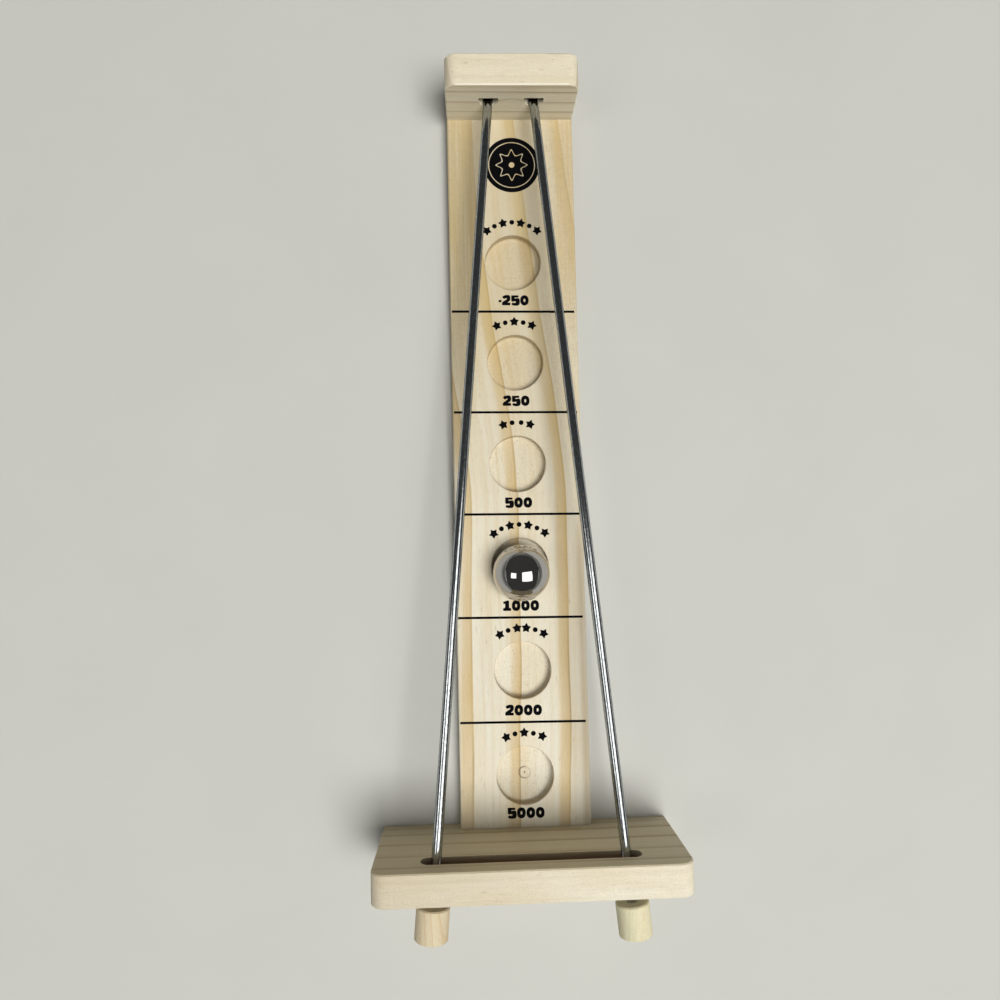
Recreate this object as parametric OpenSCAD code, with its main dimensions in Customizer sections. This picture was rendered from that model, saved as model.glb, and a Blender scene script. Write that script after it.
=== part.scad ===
// A rolling ball game. A flat wooden bed carries a row of scoring cups between a low far block and a tall slotted
// near block. Two steel rails pivot in the far block and swing in the near block's slot, and a steel ball rolls on
// them until they part and drop it into a cup.
// Frame: +X is across the bed, +Y runs from the player to the far block and +Z is up. The origin is on the bed's
// underside, on the centre line, halfway along the bed.

/* [Bed] */
// Length of the bed, from the near block to its far end
bed_l = 335; // [323:1:385]
// Width of the bed and of the far block
bed_w = 58; // [52:1:72]
// Thickness of the bed
bed_t = 7; // [6.6:0.1:12]
// Radius of the bed's rounded long edges
bed_edge_r = 1; // [0.4:0.1:2.5]

/* [Cups] */
// Length of bed that each scoring zone takes
zone_l = 46.3; // [42:0.1:56]
// Distance from a zone's near end to the centre of its cup
cup_lead = 22.4; // [18:0.1:26]
// Diameter of a cup beyond that of the ball
cup_room = 0.5; // [0:0.1:4]
// Depth of a cup
cup_depth = 5; // [3.5:0.1:5.6]
// Radius of the fillet between a cup's wall and its floor
cup_fillet = 1; // [0.5:0.1:3]
// Bevel round the rim of a cup
cup_bevel = 0.3; // [0.1:0.1:0.6]
// Outer diameter of the ring that the cutter's centre left in the nearest cup
mark_d = 5.6; // [3:0.1:9]
// Width of that ring
mark_w = 0.6; // [0.3:0.1:1]
// Depth of that ring and of the dot inside it
mark_depth = 0.3; // [0.1:0.1:0.5]
// Diameter of the dot that the cutter's point left inside the ring
dot_d = 0.9; // [0.5:0.1:1.5]

/* [Ball] */
// Diameter of the ball
ball_d = 25; // [20:0.5:27]
// Cup that the ball rests in, counted from the near end
ball_cup = 3; // [1:1:6]
// Gap under the ball
ball_seat_gap = 0.15; // [0.05:0.05:0.4]
// Gap between the ball and the near side of the cup's rim
ball_rim_gap = 0.3; // [0.1:0.1:1]

/* [Blocks] */
// Bevel along the edges of the near block and the far block
block_bevel = 0.5; // [0.2:0.1:1]

/* [Near block] */
// Width of the near block
near_w = 127; // [112:1:150]
// Thickness of the near block
near_t = 13; // [10:0.5:20]
// Height of the near block
near_h = 50; // [44:1:60]
// Radius of the near block's top corners
near_corner_r = 6; // [2:0.5:10]
// Length of the slot that the rails pass through
slot_l = 89; // [88:0.5:100]
// Height of the slot
slot_h = 7; // [6.5:0.5:10]
// Wood left above the slot
slot_cover = 8; // [5:0.5:12]

/* [Far block] */
// Thickness of the far block along the bed
far_t = 14; // [12.5:0.5:20]
// Height of the far block above the bed
far_h = 27.4; // [24:0.1:34]
// Radius of the far block's top corners
far_corner_r = 5; // [2:0.5:8]
// Wood left behind each rail hole
hole_wall = 3.5; // [2:0.5:5]
// Width of each rail hole's flared mouth
mouth_w = 8.2; // [6.5:0.1:10]
// Height of the mouth's flat top above the middle of the rail
mouth_up = 3.9; // [2.6:0.1:4.5]
// Depth of the flare
mouth_depth = 4.5; // [3:0.5:5]
// Angle by which the flare leans up towards its mouth
mouth_lean = 20; // [0:1:22]

/* [Rails] */
// Diameter of a rail
rail_d = 4; // [3:0.1:4.4]
// Distance of each rail from the centre line where it meets the far block
rail_far_x = 10.2; // [8:0.1:13]
// Distance of each rail from the centre line where it meets the near block
rail_near_x = 38.2; // [20:0.1:38.6]
// Height of the rails above the bed where they meet the far block
rail_far_h = 13.4; // [12:0.1:18]
// Gap between a rail and the lower wall of the slot
rail_seat_gap = 0.3; // [0.1:0.1:1]
// Clearance round a rail in its hole
hole_clear = 0.45; // [0.2:0.05:0.6]
// Length of a rail beyond its pivot, inside the far block
rail_tip_l = 3.5; // [2:0.5:4]
// Gap between a rail's tip and the end of its hole, with the rail pushed in
hole_end_gap = 1.5; // [0.5:0.5:2]
// Distance by which the left rail is drawn out
left_draw = 0.9; // [0:0.1:3]
// Distance by which the right rail is drawn out
right_draw = 2.2; // [0:0.1:3]
// Bevel round each end of a rail
rail_bevel = 0.4; // [0.1:0.1:0.8]

/* [Knobs] */
// Diameter of a knob
knob_d = 13.5; // [11:0.5:15]
// Length of a knob
knob_l = 13; // [11:0.5:25]
// Depth to which a rail enters its knob
knob_grip = 10; // [6:0.5:10]
// Clearance round and beyond a rail in its knob
knob_fit = 0.05; // [0.02:0.01:0.1]
// Gap between a knob and the near block, with its rail pushed in
knob_gap = 3.5; // [2:0.1:6]
// Bevel round each end of a knob
knob_bevel = 0.5; // [0.2:0.1:1.5]

/* [Screws] */
// Diameter of a screw's shank
screw_d = 3; // [2.4:0.1:3.4]
// Diameter of a screw's head
screw_head_d = 5.6; // [5:0.1:6]
// Depth of a screw head below the wood
screw_sink = 0.3; // [0.1:0.1:0.5]
// Clearance round a screw
screw_clear = 0.05; // [0.02:0.01:0.2]
// Length of the pointed end of a screw
screw_point_l = 4; // [2:0.5:6]
// Width of the cross recess's arms
recess_w = 0.7; // [0.5:0.1:0.9]
// Length of the cross recess's arms, from tip to tip
recess_l = 3; // [2:0.1:3.6]
// Depth of the cross recess
recess_depth = 1.1; // [0.6:0.1:1.4]
// Length of a near block screw
near_screw_l = 32; // [24:1:40]
// Distance of each near block screw from the centre line
near_screw_x = 18; // [17:0.5:22]
// Length of a far block screw
far_screw_l = 20; // [14:1:24]
// Distance of each far block screw from the centre line
far_screw_x = 20; // [17:0.5:24]

/* [Hidden] */
$fn = 96;
LEFT = -1;
RIGHT = 1;
// Reach of a cutting shape past the face that it cuts
over = 1;

// Places along the bed
near_face_y = -bed_l / 2;
far_face_y = bed_l / 2 - far_t;
play_l = bed_l - far_t;
cup_n = floor(play_l / zone_l);
cup_r = (ball_d + cup_room) / 2;
slot_floor_z = near_h - slot_cover - slot_h;

// The ball lies on the cup's floor, towards the near side of the rim
ball_sunk = cup_depth - ball_seat_gap;
ball_shift = cup_r - sqrt(ball_sunk * (ball_d - ball_sunk)) - ball_rim_gap;
ball_z = bed_t - ball_sunk + ball_d / 2;

// The rails' line at rest: splay is its angle from the centre line seen from above, rise its slope
splay = atan((rail_near_x - rail_far_x) / play_l);
rail_near_z = slot_floor_z + rail_seat_gap + rail_d / 2;
rise = atan((rail_near_z - bed_t - rail_far_h) * cos(splay) / play_l);
// Distance covered along the bed for each millimetre along a rail
run = cos(splay) * cos(rise);

// Each rail turns about a point inside the far block
hole_beyond_pivot = rail_tip_l + hole_end_gap;
pivot_depth = far_t - hole_wall - hole_beyond_pivot;
pivot_x = rail_far_x - pivot_depth * tan(splay);
pivot_y = far_face_y + pivot_depth;
pivot_z = bed_t + rail_far_h - pivot_depth * tan(rise) / cos(splay);
hole_angle = splay / 2;
hole_r = rail_d / 2 + hole_clear;

// Distances along a rail from its pivot, with the rail pushed in
near_exit = (pivot_depth + play_l + near_t) / run;
rail_l = rail_tip_l + near_exit + knob_gap + knob_grip;

screw_head_h = (screw_head_d - screw_d) / 2;

function cup_y(i) = near_face_y + zone_l * (i - 1) + cup_lead;
function draw(side) = side == LEFT ? left_draw : right_draw;

// Puts its children at a rail's pivot, with +Z along a rail that stands at the given angle from the centre line
module at_pivot(side, angle) {
    translate([side * pivot_x, pivot_y, pivot_z])
        rotate([90 - rise, 0, side * angle])
            children();
}

// Half of a block's section: from 0 out to reach, and from 0 to thickness, with its two outer corners beveled
function half_section(reach, thickness) =
    [[0, 0], [reach - block_bevel, 0], [reach, block_bevel], [reach, thickness - block_bevel],
        [reach - block_bevel, thickness], [0, thickness]];

// A block that stands on the X axis, with round top corners and beveled edges, and is thickness deep along +Z
module wood_block(width, height, thickness, corner_r) {
    corner_x = width / 2 - corner_r;
    corner_y = height - corner_r;
    translate([-corner_x, 0, 0])
        rotate([90, 0, 90]) linear_extrude(2 * corner_x) polygon(half_section(height, thickness));
    for (side = [LEFT, RIGHT])
        translate([side * corner_x, corner_y, 0]) {
            rotate_extrude() polygon(half_section(corner_r, thickness));
            scale([side, 1, 1])
                rotate([90, 0, 0]) linear_extrude(corner_y) polygon(half_section(corner_r, thickness));
        }
}

// The bed's cross-section, with all four corners rounded
module bed_section() {
    translate([-bed_w / 2, bed_edge_r]) square([bed_w, bed_t - 2 * bed_edge_r]);
    translate([bed_edge_r - bed_w / 2, 0]) square([bed_w - 2 * bed_edge_r, bed_t]);
    for (side = [LEFT, RIGHT])
        for (z = [bed_edge_r, bed_t - bed_edge_r])
            translate([side * (bed_w / 2 - bed_edge_r), z]) circle(bed_edge_r);
}

// The hollow of one cup: a flat floor, a fillet and an upright wall
module cup_hollow() {
    floor_z = bed_t - cup_depth;
    translate([0, 0, floor_z])
        rotate_extrude() {
            square([cup_r - cup_fillet, cup_depth + over]);
            translate([0, cup_fillet]) square([cup_r, cup_depth - cup_fillet + over]);
            translate([cup_r - cup_fillet, cup_fillet]) circle(cup_fillet);
            translate([cup_r, cup_depth])
                polygon([[-cup_bevel, -cup_bevel], [0, -cup_bevel], [cup_bevel + over, over], [-cup_bevel, over]]);
        }
}

// The ring and the dot in the nearest cup's floor
module cutter_mark() {
    translate([0, 0, bed_t - cup_depth - mark_depth])
        rotate_extrude() {
            translate([mark_d / 2 - mark_w, 0]) square([mark_w, mark_depth + over]);
            square([dot_d / 2, mark_depth + over]);
        }
}

// A countersunk wood screw along +Z, with the face of its head at 0
module wood_screw(length) {
    difference() {
        rotate_extrude()
            polygon([[0, 0], [screw_head_d / 2, 0], [screw_d / 2, screw_head_h],
                [screw_d / 2, length - screw_point_l], [0, length]]);
        for (turn = [0, 90])
            rotate([0, 0, turn])
                translate([-recess_l / 2, -recess_w / 2, -over])
                    cube([recess_l, recess_w, recess_depth + over]);
    }
}

// The hole for a wood screw, from the wood's face at 0 into +Z
module screw_hole(length) {
    head_r = screw_head_d / 2 + screw_clear;
    shank_r = screw_d / 2 + screw_clear;
    rotate_extrude()
        polygon([[0, -over], [head_r, -over], [head_r, screw_sink], [shank_r, screw_sink + screw_head_h],
            [shank_r, screw_sink + length + screw_clear], [0, screw_sink + length + screw_clear]]);
}

// Puts its children at each near block screw: on the block's outer face, with +Z into the bed's end
module at_near_screws() {
    for (side = [LEFT, RIGHT])
        translate([side * near_screw_x, near_face_y - near_t, bed_t / 2])
            rotate([-90, 0, 0])
                children();
}

// Puts its children at each far block screw: on the bed's underside, with +Z up into the far block
module at_far_screws() {
    for (side = [LEFT, RIGHT])
        translate([side * far_screw_x, bed_l / 2 - far_t / 2, 0])
            children();
}

module track_board() {
    color("burlywood")
        difference() {
            translate([0, bed_l / 2, 0]) rotate([90, 0, 0]) linear_extrude(bed_l) bed_section();
            for (i = [1 : cup_n])
                translate([0, cup_y(i), 0]) cup_hollow();
            translate([0, cup_y(1), 0]) cutter_mark();
            at_near_screws() screw_hole(near_screw_l);
            at_far_screws() screw_hole(far_screw_l);
        }
}

// The slot's outline across the near block: straight, with round ends
module near_slot() {
    end_x = (slot_l - slot_h) / 2;
    translate([0, near_face_y + over, slot_floor_z + slot_h / 2])
        rotate([90, 0, 0]) {
            translate([-end_x, -slot_h / 2, 0]) cube([2 * end_x, slot_h, near_t + 2 * over]);
            for (side = [LEFT, RIGHT])
                translate([side * end_x, 0, 0]) cylinder(h = near_t + 2 * over, d = slot_h);
        }
}

module near_block() {
    color("khaki")
        difference() {
            translate([0, near_face_y, 0])
                rotate([90, 0, 0]) wood_block(near_w, near_h, near_t, near_corner_r);
            near_slot();
            at_near_screws() screw_hole(near_screw_l);
        }
}

// One rail hole: a blind bore about the pivot, and a flare that leans up to a flat top and gives the rail room
module rail_hole(side) {
    mouth_s = pivot_depth / (cos(hole_angle) * cos(rise));
    at_pivot(side, hole_angle) {
        translate([0, 0, -hole_beyond_pivot])
            cylinder(h = hole_beyond_pivot + mouth_s + over, r = hole_r);
        intersection() {
            translate([0, 0, mouth_s - mouth_depth])
                rotate([-mouth_lean, 0, 0])
                    cylinder(h = 2 * mouth_depth, r1 = rail_d / 2, r2 = mouth_w - rail_d / 2);
            translate([-mouth_w, -mouth_w, mouth_s - mouth_depth - over])
                cube([2 * mouth_w, mouth_w + mouth_up, 2 * (mouth_depth + over)]);
        }
    }
}

module far_block() {
    color("wheat")
        difference() {
            translate([0, bed_l / 2, bed_t])
                rotate([90, 0, 0]) wood_block(bed_w, far_h, far_t, far_corner_r);
            rail_hole(LEFT);
            rail_hole(RIGHT);
            at_far_screws() screw_hole(far_screw_l);
        }
}

module rail(side) {
    color("silver")
        at_pivot(side, splay)
            translate([0, 0, draw(side) - rail_tip_l])
                rotate_extrude()
                    polygon([[0, 0], [rail_d / 2 - rail_bevel, 0], [rail_d / 2, rail_bevel],
                        [rail_d / 2, rail_l - rail_bevel], [rail_d / 2 - rail_bevel, rail_l], [0, rail_l]]);
}

module knob(side) {
    r = knob_d / 2;
    grip_r = rail_d / 2 + knob_fit;
    grip_end = knob_grip + knob_fit;
    color("palegoldenrod")
        at_pivot(side, splay)
            translate([0, 0, draw(side) + near_exit + knob_gap])
                rotate_extrude()
                    polygon([[grip_r, 0], [r - knob_bevel, 0], [r, knob_bevel], [r, knob_l - knob_bevel],
                        [r - knob_bevel, knob_l], [0, knob_l], [0, grip_end], [grip_r, grip_end]]);
}

module left_rail() {
    rail(LEFT);
}

module right_rail() {
    rail(RIGHT);
}

module left_knob() {
    knob(LEFT);
}

module right_knob() {
    knob(RIGHT);
}

module ball() {
    color("gainsboro")
        translate([0, cup_y(ball_cup) - ball_shift, ball_z]) sphere(d = ball_d);
}

module near_block_screws() {
    color("goldenrod")
        at_near_screws() translate([0, 0, screw_sink]) wood_screw(near_screw_l);
}

module far_block_screws() {
    color("goldenrod")
        at_far_screws() translate([0, 0, screw_sink]) wood_screw(far_screw_l);
}

track_board();
near_block();
far_block();
left_rail();
right_rail();
left_knob();
right_knob();
ball();
near_block_screws();
far_block_screws();
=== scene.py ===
import functools
import math

import bpy
from mathutils import Euler, Matrix, Vector


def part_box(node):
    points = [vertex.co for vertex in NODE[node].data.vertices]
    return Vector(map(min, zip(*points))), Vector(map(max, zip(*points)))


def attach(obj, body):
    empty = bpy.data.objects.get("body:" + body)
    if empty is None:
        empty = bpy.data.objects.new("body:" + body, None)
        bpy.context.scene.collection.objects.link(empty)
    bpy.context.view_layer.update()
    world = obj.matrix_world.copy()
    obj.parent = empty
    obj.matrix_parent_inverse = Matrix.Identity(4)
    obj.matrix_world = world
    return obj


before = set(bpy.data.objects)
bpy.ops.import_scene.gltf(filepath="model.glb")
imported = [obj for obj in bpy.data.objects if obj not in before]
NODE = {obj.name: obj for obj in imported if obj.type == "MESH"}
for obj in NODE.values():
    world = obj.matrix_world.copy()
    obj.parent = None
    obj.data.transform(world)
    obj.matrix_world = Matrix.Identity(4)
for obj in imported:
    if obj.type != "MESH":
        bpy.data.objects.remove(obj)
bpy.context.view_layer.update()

# Lengths in this script are millimetres in the CAD frame, and MM turns them into Blender's metres
MM = 0.001


def faces_of(node):
    """The least and the greatest X, Y and Z of a CAD node at rest."""
    return [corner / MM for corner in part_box(node)]


# Sizes of the CAD that the frame's boxes don't give

CUP_DEPTH = 5.0
CUP_LEAD = 22.4
ZONE = 46.3
RAIL_FAR_X = 10.2
RAIL_FAR_H = 13.4


# Places worked out from the frame

BED_EDGE = faces_of("track_board")[1].x
BED_TOP = faces_of("track_board")[1].z
NEAR_BACK = faces_of("near_block")[0].y
NEAR_FACE = faces_of("near_block")[1].y
NEAR_TOP = faces_of("near_block")[1].z
FAR_FACE = faces_of("far_block")[0].y
FAR_TOP = faces_of("far_block")[1].z
CUP_FLOOR = BED_TOP - CUP_DEPTH
FIRST_CUP = NEAR_FACE + CUP_LEAD
RAIL_FAR_Z = BED_TOP + RAIL_FAR_H


# Camera, fitted to the photograph's edges, corners and printed lines

CAMERA_AT = (-20.38, -38.92, 346.33)
CAMERA_TURN = (2.8165, -1.9642, -1.3211)
CAMERA_LENS = 27.122
SENSOR = 36.0
NEAREST_SEEN = 1.0
FURTHEST_SEEN = 20000.0


def make_camera():
    """The camera from the photograph's angle."""
    data = bpy.data.cameras.new("photo_camera")
    data.lens = CAMERA_LENS
    data.sensor_width = SENSOR
    data.clip_start = NEAREST_SEEN * MM
    data.clip_end = FURTHEST_SEEN * MM
    camera = bpy.data.objects.new("photo_camera", data)
    camera.location = Vector(CAMERA_AT) * MM
    camera.rotation_euler = Euler([math.radians(turn) for turn in CAMERA_TURN], "XYZ")
    bpy.context.scene.collection.objects.link(camera)
    bpy.context.scene.camera = camera


# Materials, each a small tree of nodes

class Finish:
    """One material's node tree, built a node at a time. Places in it are in millimetres."""

    def __init__(self, name):
        self.material = bpy.data.materials.new(name)
        self.material.use_nodes = True
        self.tree = self.material.node_tree
        self.shader = self.tree.nodes["Principled BSDF"]

    def plug(self, socket, value):
        """Links value to the socket if it comes from a node, or else sets it."""
        if isinstance(value, bpy.types.NodeSocket):
            self.tree.links.new(value, socket)
        else:
            socket.default_value = value

    def set(self, **values):
        """Sets the shader's own sockets: base_color for Base Color, and so on."""
        for name, value in values.items():
            self.plug(self.shader.inputs[name.replace("_", " ").title().replace("Ior", "IOR")], value)

    def math(self, operation, *values):
        node = self.tree.nodes.new("ShaderNodeMath")
        node.operation = operation
        for socket, value in zip(node.inputs, values):
            self.plug(socket, value)
        return node.outputs[0]

    def add(self, *values):
        return functools.reduce(lambda a, b: self.math("ADD", a, b), values)

    def times(self, *values):
        return functools.reduce(lambda a, b: self.math("MULTIPLY", a, b), values)

    def size_of(self, value):
        """value without its sign."""
        return self.math("ABSOLUTE", value)

    def spread(self, value, low, high, to_low=0.0, to_high=1.0, smooth=False):
        """value from low to high, spread over to_low to to_high and held there outside."""
        node = self.tree.nodes.new("ShaderNodeMapRange")
        node.interpolation_type = "SMOOTHSTEP" if smooth else "LINEAR"
        for name, number in zip(("Value", "From Min", "From Max", "To Min", "To Max"),
                                (value, low, high, to_low, to_high)):
            self.plug(node.inputs[name], number)
        return node.outputs[0]

    def fall(self, value, low, high, smooth=False):
        """1 up to low, falling to 0 at high."""
        return self.spread(value, low, high, 1.0, 0.0, smooth)

    def bell(self, value, middle, reach):
        """1 where value is at the middle, falling smoothly to 0 at reach to either side."""
        return self.fall(self.size_of(self.add(value, -middle)), 0.0, reach, smooth=True)

    def between(self, value, low, high, soft):
        """1 from low to high, falling smoothly to 0 over soft to either side."""
        rise = self.spread(value, low - soft, low, smooth=True)
        return self.times(rise, self.fall(value, high, high + soft, smooth=True))

    def place(self, turn=0.0):
        """X, Y and Z of the surface in the CAD frame, turned about Z by some degrees."""
        where = self.tree.nodes.new("ShaderNodeTexCoord").outputs["Object"]
        to_mm = self.tree.nodes.new("ShaderNodeMapping")
        to_mm.vector_type = "POINT"
        to_mm.inputs["Rotation"].default_value = (0, 0, math.radians(turn))
        to_mm.inputs["Scale"].default_value = (1 / MM,) * 3
        self.plug(to_mm.inputs["Vector"], where)
        split = self.tree.nodes.new("ShaderNodeSeparateXYZ")
        self.plug(split.inputs[0], to_mm.outputs[0])
        return split.outputs

    def vector(self, x, y, z):
        node = self.tree.nodes.new("ShaderNodeCombineXYZ")
        for socket, value in zip(node.inputs, (x, y, z)):
            self.plug(socket, value)
        return node.outputs[0]

    def noise(self, place, pitch, detail=2.0, roughness=0.5):
        """Noise from 0 to 1 whose features are about pitch millimetres apart along X, Y and Z."""
        node = self.tree.nodes.new("ShaderNodeTexNoise")
        node.inputs["Scale"].default_value = 1.0
        node.inputs["Detail"].default_value = detail
        node.inputs["Roughness"].default_value = roughness
        scaled = [self.times(part, 1 / step) for part, step in zip(place, pitch)]
        self.plug(node.inputs["Vector"], self.vector(*scaled))
        return node.outputs["Fac"]

    def patches(self, place, pitch, low, high, to_low=0.0, to_high=1.0, detail=2.0, roughness=0.5):
        """Patches of to_high among to_low, where the noise of that pitch rises from low to high."""
        return self.spread(self.noise(place, pitch, detail, roughness), low, high, to_low, to_high)

    def blend(self, share, a, b, mode="MIX"):
        """Colour a with share of colour b mixed or multiplied into it."""
        node = self.tree.nodes.new("ShaderNodeMix")
        node.data_type = "RGBA"
        node.blend_type = mode
        colours = [socket for socket in node.inputs if socket.type == "RGBA"]
        self.plug(node.inputs["Factor"], share)
        for socket, value in zip(colours, (a, b)):
            self.plug(socket, (*value, 1.0) if isinstance(value, tuple) else value)
        return next(socket for socket in node.outputs if socket.type == "RGBA")

    def curve(self, value, points):
        """value from 0 to 1 through a curve of a few points."""
        node = self.tree.nodes.new("ShaderNodeFloatCurve")
        line = node.mapping.curves[0]
        line.points[0].location = points[0]
        line.points[1].location = points[-1]
        for x, y in points[1:-1]:
            line.points.new(x, y)
        for point in line.points:
            point.handle_type = "VECTOR"
        node.mapping.update()
        self.plug(node.inputs["Value"], value)
        return node.outputs[0]

    def bump(self, height, depth):
        """Bump where height goes from 0 to 1 over depth millimetres."""
        node = self.tree.nodes.new("ShaderNodeBump")
        node.inputs["Strength"].default_value = 1.0
        node.inputs["Distance"].default_value = depth * MM
        self.plug(node.inputs["Height"], height)
        self.plug(self.shader.inputs["Normal"], node.outputs[0])


def dress(node, material):
    """Gives a CAD node its material."""
    mesh = NODE[node].data
    mesh.materials.clear()
    mesh.materials.append(material)


# Colours of pine, of what marks it, and of the shade and highlights painted on it

PALE = (0.745, 0.690, 0.545)
WARM = (0.700, 0.610, 0.430)
GOLD = (0.565, 0.405, 0.175)
OLIVE = (0.460, 0.350, 0.155)
BROWN = (0.360, 0.265, 0.145)
FLECK = (0.330, 0.205, 0.105)
# Painted shade in holes and hollows
HOLLOW_SHADE = (0.045, 0.026, 0.008)
# Painted highlight on the far block's top edge
EDGE_HIGHLIGHT = (0.930, 0.880, 0.780)
# Painted warm shade on the near block's inner face
WARM_SHADE = (0.740, 0.560, 0.235)
# Painted shade in the near block's slot
SLOT_SHADE_TONE = (0.200, 0.085, 0.020)
WEAVE = (0.400, 0.335, 0.235)


# Pine. Each ring darkens slowly towards its late wood and ends in a sharp line.

# Pitches are across the rings, along the grain and the third way
WANDER_PITCH = (26, 75, 26)
WANDER_REACH = 4.0
FADE_PITCH = (14, 60, 14)
BAND_PITCH = (2.6, 160, 2.6)
CLOUD_PITCH = (9, 40, 9)
EDGE_PITCH = (3, 45, 3)
FIBRE_PITCH = (0.28, 7.0, 0.28)
FLECK_PITCH = (0.55, 5.5, 0.55)
PORE_PITCH = (0.5, 0.6, 0.5)

CLOUD_SHARE = 0.55
FLECK_SHARE = 0.45
FIBRE_HEIGHT = 0.6
PORE_HEIGHT = 0.4
GRAIN_DEPTH = 0.10
PINE_ROUGHNESS = (0.44, 0.62)
PINE_SPECULAR = 0.35

# Curves over one ring, of (place in the ring, share)
WIDE_RINGS = ((0.0, 0.0), (0.72, 0.0), (0.80, 0.62), (0.93, 0.80), (0.985, 1.0), (1.0, 0.0))
RING_EDGE = ((0.0, 0.0), (0.945, 0.0), (0.972, 1.0), (0.992, 1.0), (1.0, 0.0))


def pine(name, grain, ring_pitch, ring_at=0.0, rings=WIDE_RINGS, ring_strength=1.0, edge=0.0, pale=PALE,
         late=GOLD, turn=0.0, wander=1.2, banding=0.30, mottling=0.05, tints=()):
    """
    Pine whose rings are ring_pitch apart. grain gives (across the rings, along the grain, the third way) at a
    place. Each tint is a colour, its strength and a function for its share at a place.
    """
    wood = Finish(name)
    x, y, z = wood.place(turn)
    across, along, third = grain(wood, x, y, z)
    slow = wood.noise((across, along, third), WANDER_PITCH, detail=1.0)
    across = wood.add(across, wood.times(wood.add(slow, -0.5), wander * WANDER_REACH))
    place = (across, along, third)

    ring = wood.math("FRACT", wood.times(wood.add(across, -ring_at), 1 / ring_pitch))
    fade = wood.patches(place, FADE_PITCH, 0.35, 0.62, 0.6, 1.0, detail=1.0)
    late_wood = wood.times(wood.curve(ring, rings), fade, ring_strength)
    bands = wood.patches(place, BAND_PITCH, 0.48, 0.72, detail=3.0)
    clouds = wood.patches(place, CLOUD_PITCH, 0.35, 0.70)
    flecks = wood.patches(place, FLECK_PITCH, 0.69, 0.80, detail=1.0)
    fibres = wood.noise(place, FIBRE_PITCH, detail=4.0, roughness=0.65)
    pores = wood.noise(place, PORE_PITCH, detail=3.0, roughness=0.7)

    tone = wood.blend(wood.times(clouds, CLOUD_SHARE), pale, WARM)
    tone = wood.blend(wood.times(bands, banding), tone, late)
    tone = wood.blend(late_wood, tone, late)
    if edge:
        broken = wood.patches(place, EDGE_PITCH, 0.40, 0.60, 0.2 * edge, edge)
        tone = wood.blend(wood.times(wood.curve(ring, RING_EDGE), broken), tone, BROWN)
    tone = wood.blend(wood.times(flecks, FLECK_SHARE), tone, FLECK)
    shade = wood.add(wood.spread(fibres, 0.25, 0.75, 0.90, 1.06),
                     wood.spread(pores, 0.3, 0.7, -mottling, mottling))
    tone = wood.blend(1.0, tone, wood.vector(shade, shade, shade), mode="MULTIPLY")
    for colour, strength, share_at in tints:
        tone = wood.blend(wood.times(share_at(wood, x, y, z), strength), tone, colour)
    wood.set(base_color=tone, roughness=wood.spread(fibres, 0.2, 0.8, *PINE_ROUGHNESS),
             specular_ior_level=PINE_SPECULAR)
    wood.bump(wood.add(wood.times(fibres, FIBRE_HEIGHT), wood.times(pores, PORE_HEIGHT)), GRAIN_DEPTH)
    return wood.material


# Pine of the bed

BED_PALE = (0.745, 0.705, 0.590)
BED_RING_PITCH = 22.0
BED_RING_AT = 1.2
BED_RING_LEAN = 0.05
DRIFT_FROM = NEAR_FACE + 150.0
DRIFT_SOFT = 14.0
DRIFT_NEAR = 0.020
DRIFT_FAR = -0.133
STRAIGHT_FROM = 100.0
STRAIGHTENING = 0.035
LESS_TO_THE_RIGHT = 0.05

# A strip is (from, to, how soft its ends are), and a change is (where it begins, where it ends). In a name,
# ACROSS is along X, ALONG is along Y from the bed's middle, and UP is along Z.
LEFT_SIDE = (-BED_EDGE, -18.6, 1.0)
RIGHT_SIDE = (22.0, BED_EDGE, 3.0)
RIGHT_EDGE = (27.3, BED_EDGE, 3.0)
OUTER_SIDES = (12.0, 18.0)
FAR_SHADE_GROWS = (-40.0, 60.0)
OLIVE_GROWS = (5.0, 80.0)
OLIVE_PITCH = (1.1, 45, 1.1)
GOLD_GROWS = (50.0, 90.0)
GOLD_PITCH = (1.0, 50, 1.0)
EDGE_LINE_ENDS = (-45.0, -20.0)
WEAVE_GROWS = (-30.0, 60.0)
WEAVE_STRENGTH = (0.04, 0.46)
WEAVE_PITCHES = ((0.55, 3.0, 0.55), (3.2, 0.50, 3.2))

CUPS_ACROSS = (-12.5, 12.5, 0.3)
CUPS_ALONG = (NEAR_FACE + 8.0, NEAR_FACE + 270.0, 1.0)
WALLS_UP = (CUP_FLOOR + 1.0, BED_TOP - 0.35, 0.3)
FLOORS_UP = (0.5, CUP_FLOOR + 1.0, 0.2)
WALL_SHADE_FADES = (-100.0, 0.0)
WALL_STRENGTH = (0.62, 0.42)
FLOORS_WARMER = (-20.0, 60.0)
FUZZ_PITCH = (0.9, 1.1, 0.9)
CUTTER_ACROSS = (-6.0, 6.0, 0.3)
CUTTER_ALONG = (FIRST_CUP - 7.4, FIRST_CUP + 7.6, 1.0)
CUTTER_UP = (0.5, CUP_FLOOR - 0.12, 0.06)
CUTTER_LEFT_TO_RIGHT = (0.3, 1.0)
CUTTER_STRENGTH = (0.50, 0.12)


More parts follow.
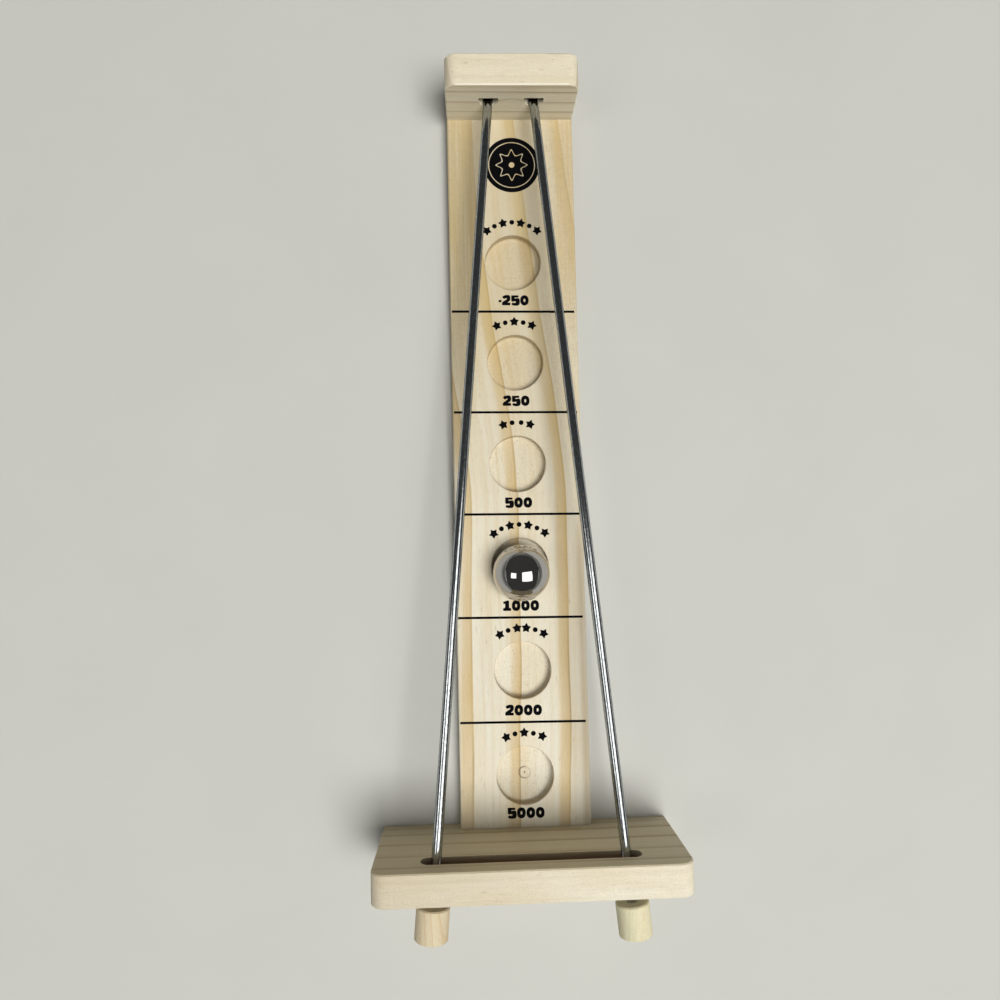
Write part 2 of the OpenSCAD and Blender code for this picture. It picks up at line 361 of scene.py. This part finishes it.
def bed_grain(wood, x, y, z):
    """
    Across the bed's rings: x, less the rings' drift, which turns smoothly from one slope to the other past
    DRIFT_FROM. The left rings straighten again past STRAIGHT_FROM.
    """
    past = wood.add(y, -DRIFT_FROM)
    bend = wood.math("SQRT", wood.add(wood.times(past, past), DRIFT_SOFT ** 2))
    mean, half_change = (DRIFT_NEAR + DRIFT_FAR) / 2, (DRIFT_FAR - DRIFT_NEAR) / 2
    drift = wood.add(wood.times(past, mean), wood.times(bend, half_change))
    across = wood.add(x, wood.times(z, BED_RING_LEAN), wood.times(drift, -1.0))
    far_end = wood.times(wood.math("MAXIMUM", wood.add(y, -STRAIGHT_FROM), 0.0), STRAIGHTENING)
    left_first = wood.add(wood.times(x, LESS_TO_THE_RIGHT), -1.0)
    return wood.add(across, wood.times(far_end, left_first)), y, z


def far_dusk(wood, x, y, z):
    """Painted shade: the bed darkens and turns olive towards the far end, where the light falls off."""
    return wood.spread(y, *FAR_SHADE_GROWS)


def olive_side(wood, x, y, z):
    """The bed's left side is olive towards the far end."""
    streaks = wood.patches((x, y, z), OLIVE_PITCH, 0.35, 0.65, 0.35, 1.0, detail=3.0)
    return wood.times(wood.between(x, *LEFT_SIDE), wood.spread(y, *OLIVE_GROWS), streaks)


def golden_side(wood, x, y, z):
    """The bed's right side has golden streaks at the far end."""
    streaks = wood.patches((x, y, z), GOLD_PITCH, 0.38, 0.62, 0.3, 1.0, detail=3.0)
    return wood.times(wood.between(x, *RIGHT_SIDE), wood.spread(y, *GOLD_GROWS), streaks)


def edge_line(wood, x, y, z):
    """A brown line along the bed's right edge in its near half."""
    return wood.times(wood.between(x, *RIGHT_EDGE), wood.fall(y, *EDGE_LINE_ENDS))


def fine_weave(wood, x, y, z):
    """Short fibres and fine marks over them, on the far end's outer strips and faint elsewhere."""
    fibres, marks = [wood.patches((x, y, z), pitch, 0.49, 0.62, roughness=0.7) for pitch in WEAVE_PITCHES]
    outer = wood.times(wood.spread(wood.size_of(x), *OUTER_SIDES), wood.spread(y, *WEAVE_GROWS))
    return wood.times(wood.add(fibres, marks), 0.5, wood.spread(outer, 0.0, 1.0, *WEAVE_STRENGTH))


def in_cups(wood, x, y, z, heights):
    """The strip of the bed that holds the cups, over some heights."""
    seen_from_above = wood.times(wood.between(x, *CUPS_ACROSS), wood.between(y, *CUPS_ALONG))
    return wood.times(seen_from_above, wood.between(z, *heights))


def warm_floors(wood, x, y, z):
    """The floors of the far cups are a little more golden."""
    return wood.times(in_cups(wood, x, y, z, FLOORS_UP), wood.spread(y, *FLOORS_WARMER))


def cup_walls(wood, x, y, z):
    """Painted shade on the cups' walls, deepest in the near cups, whose walls face away from the light."""
    return wood.times(in_cups(wood, x, y, z, WALLS_UP), wood.spread(y, *WALL_SHADE_FADES, *WALL_STRENGTH))


def cup_fuzz(wood, x, y, z):
    """Fine specks that the cutter left on the floors of the cups."""
    specks = wood.patches((x, y, z), FUZZ_PITCH, 0.55, 0.70, roughness=0.6)
    return wood.times(specks, in_cups(wood, x, y, z, FLOORS_UP))


def cutter_dirt(wood, x, y, z):
    """Painted shade in the cutter's ring, most on its left, and in the dot inside it."""
    middle = wood.times(wood.between(x, *CUTTER_ACROSS), wood.between(y, *CUTTER_ALONG))
    left_most = wood.spread(x, *CUTTER_LEFT_TO_RIGHT, *CUTTER_STRENGTH)
    return wood.times(wood.between(z, *CUTTER_UP), middle, left_most)


def bed_pine():
    """Pale pine with wide rings that end in brown lines, one of them at BED_RING_AT on the bed's top."""
    tints = (
        (OLIVE, 0.40, far_dusk),
        (OLIVE, 0.70, olive_side),
        (GOLD, 0.52, golden_side),
        (BROWN, 0.45, edge_line),
        (WEAVE, 1.0, fine_weave),
        (GOLD, 0.16, warm_floors),
        (BROWN, 1.0, cup_walls),
        (BROWN, 0.30, cup_fuzz),
        (HOLLOW_SHADE, 1.0, cutter_dirt))
    ring_at = BED_RING_AT + BED_RING_LEAN * BED_TOP
    return pine("bed_pine", bed_grain, BED_RING_PITCH, ring_at, edge=0.55, pale=BED_PALE, tints=tints)


# Rings that a block shows above each other on its inner face

BLOCK_RING_LEAN = 0.12
ARCH_SOFT = 5.0
RING_ENDS_IN = 0.3


def ring_lines(reach, rings):
    """
    A ring curve over reach millimetres. Each ring (height, share, ramp) darkens over its ramp up to its
    height and ends there.
    """
    points = [(0.0, 0.0)]
    for height, share, ramp in rings:
        points += [(height - ramp, 0.0), (height - 0.45 * ramp, 0.35 * share),
                   (height - 0.15 * ramp, share), (height, share), (height + RING_ENDS_IN, 0.0)]
    return [(height / reach, share) for height, share in points] + [(1.0, 0.0)]


def arched(wood, across, x, z, height, half_width, rise):
    """The rings near one height rise in the middle of the block."""
    arch = wood.times(wood.bell(x, 0.0, half_width), wood.bell(z, height, ARCH_SOFT))
    return wood.add(across, wood.times(arch, -rise))


# Pine of the near block

NEAR_PALE = (0.760, 0.710, 0.580)
NEAR_REACH = 52.0
NEAR_RINGS = ring_lines(NEAR_REACH, (
    (5.0, 0.6, 3.0), (12.0, 0.9, 3.2), (22.6, 0.9, 3.2), (34.2, 0.9, 3.2), (44.4, 0.8, 3.0)))
LEFT_SHADE_ACROSS = (-62.0, 35.0)
LEFT_SHADE_UP = (NEAR_TOP - 6.0, NEAR_TOP - 1.0)
LEFT_SHADE_ON_TOP = 1.5
WARM_SHADE_SKIN = (NEAR_FACE - 0.5, NEAR_FACE - 0.1)
SLOT_ACROSS = (-46.0, 46.0, 0.5)
SLOT_UP = (NEAR_TOP - 17.0, NEAR_TOP - 6.0, 0.5)
SLOT_DARKENS = (0.3, 3.2)


def near_block_grain(wood, x, y, z):
    """The near block's grain lies across the game, and its lowest ring rises in the middle."""
    across = wood.add(z, wood.times(wood.add(y, -NEAR_FACE), BLOCK_RING_LEAN))
    return arched(wood, across, x, z, height=6.0, half_width=55.0, rise=2.5), x, y


def left_dusk(wood, x, y, z):
    """Painted shade: the near block darkens and browns to the left, away from the light, most of all on its
    top.
    """
    return wood.times(wood.fall(x, *LEFT_SHADE_ACROSS), wood.spread(z, *LEFT_SHADE_UP, 1.0, LEFT_SHADE_ON_TOP))


def amber_face(wood, x, y, z):
    """Painted warm shade on the near block's inner face, which faces away from the light."""
    return wood.spread(y, *WARM_SHADE_SKIN)


def slot_shade(wood, x, y, z):
    """Painted shade in the near block's slot, darker with the depth behind either face."""
    depth = wood.math("MINIMUM", wood.add(y, -NEAR_BACK), wood.add(wood.times(y, -1.0), NEAR_FACE))
    middle = wood.times(wood.between(x, *SLOT_ACROSS), wood.between(z, *SLOT_UP))
    return wood.times(wood.spread(depth, *SLOT_DARKENS), middle)


def near_block_pine():
    """Pine with five rings above each other, painted warm shade on its inner face and painted shade in its
    slot.
    """
    tints = (
        (BROWN, 0.26, left_dusk),
        (WARM_SHADE, 0.30, amber_face),
        (SLOT_SHADE_TONE, 0.9, slot_shade))
    return pine("near_block_pine", near_block_grain, NEAR_REACH, rings=NEAR_RINGS, pale=NEAR_PALE, late=BROWN,
                wander=0.5, banding=0.14, mottling=0.09, tints=tints)


# Pine of the far block, with depths from its inner face

FAR_REACH = 40.0
FAR_RINGS = ring_lines(FAR_REACH, (
    (9.0, 0.3, 1.8), (14.0, 0.85, 1.7), (21.5, 0.75, 2.4), (29.2, 0.95, 2.0), (33.5, 0.5, 3.9)))
FAR_RING_FALL = 0.022
ON_FAR_TOP = (FAR_TOP - 1.4, FAR_TOP - 0.9)
FLECK_X = -19.8
FLECK_Y = FAR_FACE + 8.0
FLECK_HALF = (1.7, 0.5)
FLECK_SLANT = 0.08
SCRATCH_ACROSS = (16.0, 26.0, 1.5)
SCRATCH_Y = FAR_FACE + 13.5
SCRATCH_HALF = 0.5
EDGE_HIGHLIGHT_UP = (FAR_TOP - 0.45, FAR_TOP + 0.6, 0.15)
EDGE_HIGHLIGHT_ALONG = (FAR_FACE + 0.5, FAR_FACE + 0.8)
EDGE_HIGHLIGHT_ACROSS = (-24.0, 24.0, 1.0)
FLARE_SLOPE = 0.75
FLARE_SIDE = (2.4, 2.7)
FLARE_DEPTHS = (0.02, 0.12)
FLARE_ABOVE = (RAIL_FAR_Z - 3.0, RAIL_FAR_Z - 2.0)
BORE_DEPTHS = (2.0, 4.5)
BORE_ENDS = (11.0, 12.0)
HOLE_ACROSS = (-1.0, 6.0, 0.5)
HOLE_UP = (RAIL_FAR_Z - 6.4, RAIL_FAR_Z + 6.6, 0.5)


def far_block_grain(wood, x, y, z):
    """The far block's middle ring rises between the rail holes, and all its rings fall to the right."""
    across = wood.add(z, wood.times(wood.add(y, -FAR_FACE), BLOCK_RING_LEAN))
    across = arched(wood, across, x, z, height=22.5, half_width=11.0, rise=3.0)
    return wood.add(across, wood.times(x, FAR_RING_FALL)), x, y


def far_top_marks(wood, x, y, z):
    """A short dark fleck and a faint scratch on the far block's top."""
    half_x, half_y = FLECK_HALF
    slanted = wood.add(y, wood.times(x, FLECK_SLANT))
    fleck = wood.times(wood.bell(x, FLECK_X, half_x), wood.bell(slanted, FLECK_Y, half_y))
    scratch = wood.times(wood.between(x, *SCRATCH_ACROSS), wood.bell(y, SCRATCH_Y, SCRATCH_HALF))
    both = wood.add(wood.times(fleck, 0.6), wood.times(scratch, 0.4))
    return wood.times(both, wood.spread(z, *ON_FAR_TOP))


def rubbed_edge(wood, x, y, z):
    """Painted highlight along the bevel of the far block's inner top edge."""
    bevel = wood.times(wood.between(z, *EDGE_HIGHLIGHT_UP), wood.fall(y, *EDGE_HIGHLIGHT_ALONG))
    return wood.times(bevel, wood.between(x, *EDGE_HIGHLIGHT_ACROSS))


def mouth_shade(wood, x, y, z):
    """Painted shade in the far block's rail holes: at once over the rails, where they flare, and further in
    below.
    """
    depth = wood.add(y, -FAR_FACE)
    aside = wood.size_of(wood.add(wood.size_of(x), -RAIL_FAR_X))
    flare = wood.add(aside, wood.times(wood.add(z, -RAIL_FAR_Z), -FLARE_SLOPE))
    over = wood.times(wood.spread(depth, *FLARE_DEPTHS), wood.spread(z, *FLARE_ABOVE),
                      wood.fall(flare, *FLARE_SIDE))
    inside = wood.math("MAXIMUM", over, wood.spread(depth, *BORE_DEPTHS))
    hole = wood.times(wood.between(aside, *HOLE_ACROSS), wood.between(z, *HOLE_UP))
    return wood.times(inside, hole, wood.fall(depth, *BORE_ENDS))


def far_block_pine():
    """Pine with five closer rings, a painted highlight on its top edge and painted shade in the rail holes.
    """
    tints = (
        (BROWN, 1.0, far_top_marks),
        (EDGE_HIGHLIGHT, 0.55, rubbed_edge),
        (HOLLOW_SHADE, 1.0, mouth_shade))
    return pine("far_block_pine", far_block_grain, FAR_REACH, rings=FAR_RINGS, late=BROWN, ring_strength=0.85,
                wander=0.25, banding=0.12, mottling=0.07, tints=tints)


# Wood of the knobs, turned so that the grain follows the rails

KNOB_TURN = 5.0
KNOB_RING_LEAN = 0.5


def knob_grain(wood, x, y, z):
    """A dowel's grain runs along it."""
    return wood.add(x, wood.times(z, KNOB_RING_LEAN)), y, z


def left_knob_wood():
    """Brownish wood with clear rings."""
    return pine("left_knob_wood", knob_grain, ring_pitch=3.1, ring_at=0.4, ring_strength=0.5,
                turn=-KNOB_TURN, pale=(0.625, 0.545, 0.380), late=(0.560, 0.370, 0.190))


def right_knob_wood():
    """Paler and yellower wood with faint rings."""
    return pine("right_knob_wood", knob_grain, ring_pitch=2.7, ring_at=1.3, ring_strength=0.35,
                turn=KNOB_TURN, pale=(0.705, 0.680, 0.480), late=(0.640, 0.540, 0.290))


# Steel

ROUND_PITCH = (0.8, 0.8, 0.8)
DRAWN_PITCH = (0.12, 12.0, 0.12)
STAIN_PITCH = (3.0, 22.0, 3.0)
SPECK_PITCH = (0.7, 1.6, 0.7)
DRAWN_TINT = (0.10, 0.11, 0.12, 1.0)
# Painted shade on the rails in the far block's holes
RAIL_HOLE_SHADE = (0.05, 0.045, 0.04)
HOLE_SOFT = 0.6


def darker(colour, share):
    """The colour with only a share of its brightness."""
    return tuple(share * part for part in colour)


def steel(name, colour, roughness, scratch=0.0, drawn_shade_from=None):
    """Bare steel. A drawn rod has fine lines along it and specks, and painted shade past a given Y."""
    metal = Finish(name)
    x, y, z = metal.place()
    lines = metal.noise((x, y, z), DRAWN_PITCH if drawn_shade_from else ROUND_PITCH, detail=3.0, roughness=0.6)
    stain = metal.patches((x, y, z), STAIN_PITCH, 0.35, 0.75, 0.0, 0.5, detail=3.0)
    tone = metal.blend(stain, colour, darker(colour, 0.72))
    if drawn_shade_from:
        specks = metal.patches((x, y, z), SPECK_PITCH, 0.40, 0.62, 0.0, 0.45)
        tone = metal.blend(specks, tone, darker(colour, 0.35))
        tone = metal.blend(metal.spread(y, drawn_shade_from, drawn_shade_from + HOLE_SOFT), tone, RAIL_HOLE_SHADE)
        metal.set(specular_tint=DRAWN_TINT)
    metal.set(base_color=tone, metallic=1.0,
              roughness=metal.spread(lines, 0.3, 0.7, 0.6 * roughness, 1.4 * roughness))
    if scratch:
        metal.bump(lines, scratch)
    return metal.material


def rail_steel():
    """Drawn rod, with painted shade from just before it enters the far block."""
    return steel("rail_steel", (0.60, 0.635, 0.66), roughness=0.12, scratch=0.01, drawn_shade_from=FAR_FACE - 0.3)


def ball_steel():
    """Polished steel."""
    return steel("ball_steel", (0.56, 0.545, 0.53), roughness=0.035)


def screw_steel():
    """Plain, dull steel."""
    return steel("screw_steel", (0.62, 0.62, 0.60), roughness=0.30, scratch=0.02)


# Ink

INK_PITCH = (0.35, 0.9, 0.5)
INK_FULL = (0.003, 0.003, 0.004)
INK_THIN = (0.020, 0.018, 0.017)
INK_ROUGHNESS = (0.62, 0.78)
INK_SPECULAR = 0.04


def print_ink():
    """Matt black screen ink, a little thin in places."""
    black = Finish("print_ink")
    cover = black.noise(black.place(), INK_PITCH, detail=3.0, roughness=0.7)
    black.set(base_color=black.blend(black.spread(cover, 0.55, 0.85), INK_FULL, INK_THIN),
              roughness=black.spread(cover, 0.3, 0.7, *INK_ROUGHNESS), specular_ior_level=INK_SPECULAR)
    return black.material


# Printed marks: closed outlines in millimetres on the bed, filled between the outer and the inner ones

PRINT_SUNK = 0.02
PRINT_PROUD = 0.03


def rounded(corners, steps=5):
    """A closed outline from corners (x, y, reach), each rounded off from reach before it to reach past it."""
    outline = []
    for index, (x, y, reach) in enumerate(corners):
        corner = Vector((x, y))
        ends = []
        for other in (corners[index - 1], corners[(index + 1) % len(corners)]):
            side = Vector(other[:2]) - corner
            ends.append(corner + side.normalized() * min(reach, side.length * 0.48))
        for step in range(steps + 1):
            past = step / steps
            point = ends[0] * (1 - past) ** 2 + corner * 2 * past * (1 - past) + ends[1] * past * past
            outline.append(tuple(point))
    return outline


def oval(centre, half_w, half_h, power=2.0, count=28):
    """A closed oval, squarer with a higher power."""
    def point(index):
        turn = 2 * math.pi * index / count
        cosine, sine = math.cos(turn), math.sin(turn)
        return (centre[0] + half_w * math.copysign(abs(cosine) ** (2 / power), cosine),
                centre[1] + half_h * math.copysign(abs(sine) ** (2 / power), sine))
    return [point(index) for index in range(count)]


def moved(outlines, size=1.0, shift=(0.0, 0.0), turn=0.0):
    """The outlines scaled, turned by some degrees and then shifted."""
    cosine, sine = math.cos(math.radians(turn)) * size, math.sin(math.radians(turn)) * size
    return [[(shift[0] + x * cosine - y * sine, shift[1] + x * sine + y * cosine) for x, y in outline]
            for outline in outlines]


def print_marks(name, outlines, black):
    """A thin closed slab of the black ink in the shape of the outlines, on the bed's top."""
    flat = bpy.data.curves.new(name, "CURVE")
    flat.dimensions = "2D"
    flat.fill_mode = "BOTH"
    flat.extrude = (PRINT_SUNK + PRINT_PROUD) / 2 * MM
    for outline in outlines:
        line = flat.splines.new("POLY")
        line.points.add(len(outline) - 1)
        for point, (x, y) in zip(line.points, outline):
            point.co = (x * MM, y * MM, 0, 1)
        line.use_cyclic_u = True
    pattern = bpy.data.objects.new(name + "_outline", flat)
    bpy.context.scene.collection.objects.link(pattern)
    bpy.context.view_layer.update()
    mesh = bpy.data.meshes.new_from_object(pattern.evaluated_get(bpy.context.evaluated_depsgraph_get()))
    bpy.data.objects.remove(pattern)
    bpy.data.curves.remove(flat)
    for corner in mesh.vertices:
        corner.co.z += (BED_TOP + (PRINT_PROUD - PRINT_SUNK) / 2) * MM
    mesh.name = name
    mesh.materials.clear()
    mesh.materials.append(black)
    piece = bpy.data.objects.new(name, mesh)
    bpy.context.scene.collection.objects.link(piece)
    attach(piece, "game_frame")


# Heavy rounded digits, one unit high, each with its width

DIGITS = {
    "0": (0.79, [
        oval((0.395, 0.50), 0.395, 0.515, power=2.25),
        oval((0.395, 0.50), 0.088, 0.165, power=2.2)]),
    "1": (0.74, [rounded([
        (0.00, 0.00, 0.10), (0.74, 0.00, 0.10), (0.74, 0.27, 0.10), (0.56, 0.29, 0.05), (0.56, 1.01, 0.10),
        (0.36, 1.01, 0.14), (0.00, 0.88, 0.10), (0.04, 0.66, 0.10), (0.19, 0.71, 0.04), (0.19, 0.29, 0.05),
        (0.00, 0.27, 0.10)])]),
    "2": (0.78, [rounded([
        (0.00, 0.00, 0.06), (0.78, 0.00, 0.08), (0.77, 0.27, 0.08), (0.50, 0.27, 0.05), (0.80, 0.52, 0.20),
        (0.76, 1.04, 0.34), (0.28, 1.04, 0.26), (0.00, 0.86, 0.10), (0.17, 0.62, 0.10), (0.42, 0.74, 0.06),
        (0.46, 0.62, 0.10), (0.00, 0.30, 0.12)])]),
    "5": (0.79, [rounded([
        (0.02, 1.00, 0.06), (0.70, 1.00, 0.08), (0.70, 0.78, 0.08), (0.34, 0.78, 0.04), (0.34, 0.68, 0.04),
        (0.80, 0.76, 0.30), (0.84, -0.04, 0.40), (0.20, -0.04, 0.22), (0.03, 0.08, 0.08), (0.11, 0.28, 0.08),
        (0.42, 0.22, 0.08), (0.44, 0.42, 0.10), (0.16, 0.36, 0.06), (0.02, 0.42, 0.08)])]),
    "-": (0.25, [oval((0.13, 0.42), 0.15, 0.13)]),
}
DIGIT_GAP = 0.065
DIGIT_H = 4.6
DIGIT_STRETCH = 1.07


def number_outlines(number, centre):
    """The number's outlines, centred on a place on the bed."""
    digits = [DIGITS[sign] for sign in str(number)]
    width = sum(digit[0] * DIGIT_STRETCH for digit in digits) + DIGIT_GAP * (len(digits) - 1)
    outlines = []
    left = -width / 2
    for digit_width, digit in digits:
        outlines += [[(left + x * DIGIT_STRETCH, y - 0.5) for x, y in outline] for outline in digit]
        left += digit_width * DIGIT_STRETCH + DIGIT_GAP
    return moved(outlines, DIGIT_H, centre, PRINT_TILT)


# The bed's marks, from the player's end: a score below each cup, an arc over it and a line between zones

SCORES = (5000, 2000, 1000, 500, 250, -250)
SCORE_BELOW = 17.6
SCORE_BELOW_NEAR = 16.2
LINE_ABOVE = 23.45
LINE_W = 1.05
LINE_ENDS = (-28.3, 27.7)
PRINT_TILT = -0.8
ARC_R = 18.8
ARC_STEP = 12.6
ARC_MARKS = ("*.*.*", "*.**.*", "*.*.*.*", "*..*", "*.*.*", "*.*.*.*")
STAR_R = 2.35
STAR_WAIST = 1.3
STAR_ROUNDING = 0.12
DOT_R = 1.1
BADGE_AT = (0.55, NEAR_FACE + 299.65)
BADGE_R = 12.85
BADGE_RINGS = (10.8, 10.4)
BADGE_STARS = ((8.0, 4.6), (7.3, 4.14))
BADGE_DOT_R = 1.3


def star(points, tip, waist):
    """A star with that many points, slightly rounded."""
    def corner(index):
        turn = math.radians(90.0 + 180.0 * index / points)
        radius = waist if index % 2 else tip
        return radius * math.cos(turn), radius * math.sin(turn), STAR_ROUNDING * tip
    return rounded([corner(index) for index in range(2 * points)], steps=2)


def arc_outlines(marks, cup_y):
    """An arc of stars and dots over a cup."""
    outlines = []
    for place, mark in enumerate(marks):
        lean = ARC_STEP * ((len(marks) - 1) / 2 - place)
        motif = star(5, STAR_R, STAR_WAIST) if mark == "*" else oval((0, 0), DOT_R, DOT_R)
        at = (-ARC_R * math.sin(math.radians(lean)), cup_y + ARC_R * math.cos(math.radians(lean)))
        outlines += moved([motif], shift=at, turn=lean)
    return outlines


def print_zones(black):
    """The score and the arc at each cup."""
    for index, (score, marks) in enumerate(zip(SCORES, ARC_MARKS)):
        cup_y = FIRST_CUP + index * ZONE
        below = SCORE_BELOW if index else SCORE_BELOW_NEAR
        print_marks(f"score_{index + 1}", number_outlines(score, (0.0, cup_y - below)), black)
        print_marks(f"star_arc_{index + 1}", arc_outlines(marks, cup_y), black)


def print_lines(black):
    """The lines between zones."""
    left, right = LINE_ENDS
    bar = [(left, -LINE_W / 2), (right, -LINE_W / 2), (right, LINE_W / 2), (left, LINE_W / 2)]
    lines = [moved([bar], shift=(0, FIRST_CUP + LINE_ABOVE + index * ZONE), turn=PRINT_TILT)[0]
             for index in range(len(SCORES) - 1)]
    print_marks("zone_lines", lines, black)


def print_badge(black):
    """A black disc with a bare ring, the bare outline of an eight-pointed star and a bare dot."""
    disc = oval((0, 0), BADGE_R, BADGE_R, count=96)
    rings = [oval((0, 0), radius, radius, count=72) for radius in BADGE_RINGS]
    stars = [star(8, tip, waist) for tip, waist in BADGE_STARS]
    dot = oval((0, 0), BADGE_DOT_R, BADGE_DOT_R)
    print_marks("badge", moved([disc, *rings, *stars, dot], shift=BADGE_AT), black)


def print_bed(black):
    """All the marks, each a piece of its own."""
    print_zones(black)
    print_lines(black)
    print_badge(black)


# Floor

FLOOR_HALF = 3000.0
FLOOR_TONES = ((0.52, 0.525, 0.50), (0.56, 0.565, 0.535))
FLOOR_PITCH = (60, 60, 60)
FLOOR_ROUGHNESS = 0.8


def make_floor():
    """A wide pale floor under the game."""
    floor = Finish("pale_floor")
    cloud = floor.noise(floor.place(), FLOOR_PITCH, detail=4.0)
    floor.set(base_color=floor.blend(cloud, *FLOOR_TONES), roughness=FLOOR_ROUGHNESS)
    half = FLOOR_HALF * MM
    corners = [(-half, -half, 0), (half, -half, 0), (half, half, 0), (-half, half, 0)]
    mesh = bpy.data.meshes.new("floor")
    mesh.from_pydata(corners, [], [(0, 1, 2, 3)])
    mesh.materials.append(floor.material)
    piece = bpy.data.objects.new("floor", mesh)
    bpy.context.scene.collection.objects.link(piece)


# Lights

DAYLIGHT = (1.0, 0.985, 0.95)
LIGHTS_AWAY = 4000.0
SKY_COLOUR = (0.96, 0.96, 0.93, 1.0)
SKY_RANGE = (("From Min", 0.0), ("From Max", 0.28), ("To Min", 0.36), ("To Max", 0.058))


def softbox(name, lean_x, lean_y, width, height, watts, mirrored=True):
    """An area light over the game, leaning some degrees from straight up towards +X and +Y, and facing it."""
    data = bpy.data.lights.new(name, "AREA")
    data.shape = "RECTANGLE"
    data.size = width * MM
    data.size_y = height * MM
    data.energy = watts
    data.color = DAYLIGHT
    up = Vector((math.tan(math.radians(lean_x)), math.tan(math.radians(lean_y)), 1.0)).normalized()
    side = (Vector((1, 0, 0)) - up * up.x).normalized()
    light = bpy.data.objects.new(name, data)
    light.location = up * (LIGHTS_AWAY * MM)
    light.rotation_euler = Matrix((side, up.cross(side), up)).transposed().to_euler()
    light.visible_glossy = mirrored
    bpy.context.scene.collection.objects.link(light)


def light_studio():
    """Two windows, and an overhead light that nothing mirrors."""
    softbox("window_right", lean_x=21, lean_y=-15, width=3000, height=2700, watts=56.0)
    softbox("window_left", lean_x=-35, lean_y=-11, width=1500, height=1400, watts=14.0)
    softbox("overhead", lean_x=15, lean_y=-15, width=2000, height=2000, watts=131.0, mirrored=False)


def make_sky():
    """A sky that is dim overhead and paler towards the horizon."""
    world = bpy.data.worlds.new("studio")
    world.use_nodes = True
    tree = world.node_tree
    background = tree.nodes["Background"]
    background.inputs["Color"].default_value = SKY_COLOUR
    direction = tree.nodes.new("ShaderNodeTexCoord").outputs["Generated"]
    split = tree.nodes.new("ShaderNodeSeparateXYZ")
    tree.links.new(direction, split.inputs[0])
    rise = tree.nodes.new("ShaderNodeMapRange")
    rise.interpolation_type = "SMOOTHSTEP"
    for socket, value in SKY_RANGE:
        rise.inputs[socket].default_value = value
    tree.links.new(split.outputs[2], rise.inputs["Value"])
    tree.links.new(rise.outputs[0], background.inputs["Strength"])
    bpy.context.scene.world = world
    bpy.context.scene.view_settings.view_transform = "Standard"
    bpy.context.scene.view_settings.look = "None"


# The scene

make_camera()

dress("track_board", bed_pine())
dress("near_block", near_block_pine())
dress("far_block", far_block_pine())
dress("left_knob", left_knob_wood())
dress("right_knob", right_knob_wood())
rail_finish = rail_steel()
dress("left_rail", rail_finish)
dress("right_rail", rail_finish)
dress("ball", ball_steel())
screw_finish = screw_steel()
dress("near_block_screws", screw_finish)
dress("far_block_screws", screw_finish)

print_bed(print_ink())
make_floor()
light_studio()
make_sky()
